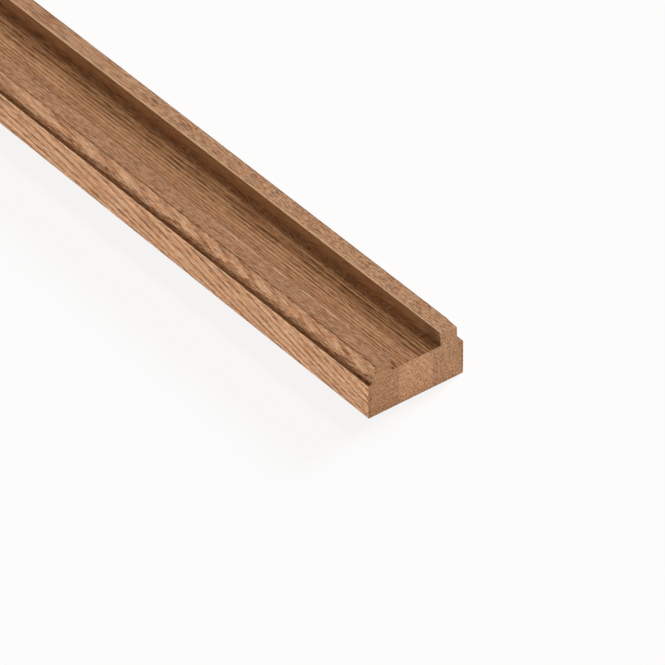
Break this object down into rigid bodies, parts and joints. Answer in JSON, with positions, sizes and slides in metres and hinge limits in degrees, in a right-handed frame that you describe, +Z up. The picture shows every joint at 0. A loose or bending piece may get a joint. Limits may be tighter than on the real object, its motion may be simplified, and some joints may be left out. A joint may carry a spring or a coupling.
{
  "type": "stair baserail",
  "caption": "Moulded oak stair baserail with a flat-bottomed groove for square baluster feet, upright lips, coved shoulders and a flat underside, glued up from staves.",
  "frame": {"origin": "middle of the underside, halfway along the rail", "axes": "+X along the rail, +Y across it towards the back stave, +Z up out of the groove"},
  "size_m": [2.4, 0.062, 0.0325],
  "materials": {
    "oak": "planed, unfinished, open-pored oak"
  },
  "bodies": {
    "root": {"front_stave": "oak", "middle_stave": "oak", "back_stave": "oak"}
  },
  "joints": []
}
